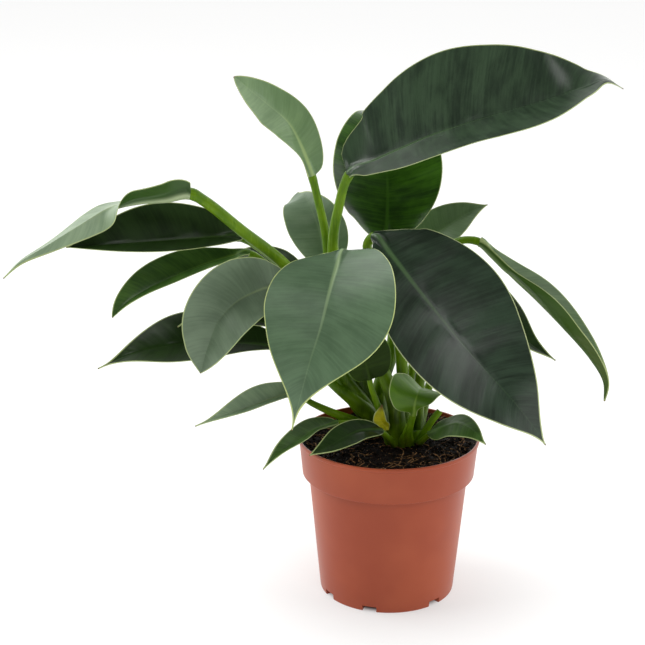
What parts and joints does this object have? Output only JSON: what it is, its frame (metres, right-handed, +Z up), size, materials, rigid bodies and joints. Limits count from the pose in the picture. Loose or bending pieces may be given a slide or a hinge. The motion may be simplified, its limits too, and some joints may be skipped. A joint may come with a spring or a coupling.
{
  "type": "potted philodendron",
  "caption": "Leafy philodendron with long-stalked, pointed leathery leaves, growing in peat in a round collared nursery pot.",
  "frame": {"origin": "centre of the pot's flat foot, on the surface it stands on", "axes": "+Z up; -Y is the front, the side the picture looks at; +X to the right seen from the front"},
  "size_m": [0.3756, 0.1742, 0.3632],
  "materials": {
    "pot": "satin terracotta-coloured moulded plastic",
    "soil": "moist dark peat with root fibres",
    "stalk": "smooth bright green living stalk, a little glossy",
    "leaf": "dark green leathery leaf with a soft sheen and a pale margin",
    "leaf_pale": "paler grey-green leaf",
    "leaf_young": "young, thinner mid-green leaf",
    "sheath": "drying yellow sheath of a shed leaf"
  },
  "bodies": {
    "root": {"pot": "pot", "soil": "soil", "stalks_front": "stalk", "stalks_left": "stalk", "stalks_right": "stalk", "stalks_back": "stalk", "leaf_front_centre": "leaf", "leaf_front_right": "leaf", "leaf_soil_front": "leaf", "leaf_small_centre": "leaf", "leaf_young": "leaf_young", "leaf_upper_right": "leaf", "leaf_upper_left": "leaf_pale", "leaf_front_left": "leaf", "leaf_long_left": "leaf", "leaf_left_under": "leaf", "leaf_left_middle": "leaf", "leaf_lower_left": "leaf", "leaf_low_left": "leaf", "leaf_rim_left": "leaf", "leaf_hooked_left": "leaf", "leaf_rim_right": "leaf", "leaf_drooping_right": "leaf", "leaf_right_behind": "leaf", "leaf_tall_back": "leaf", "leaf_back_left": "leaf", "leaf_back_right": "leaf", "leaf_back_far_left": "leaf", "yellow_sheath": "sheath"}
  },
  "joints": []
}
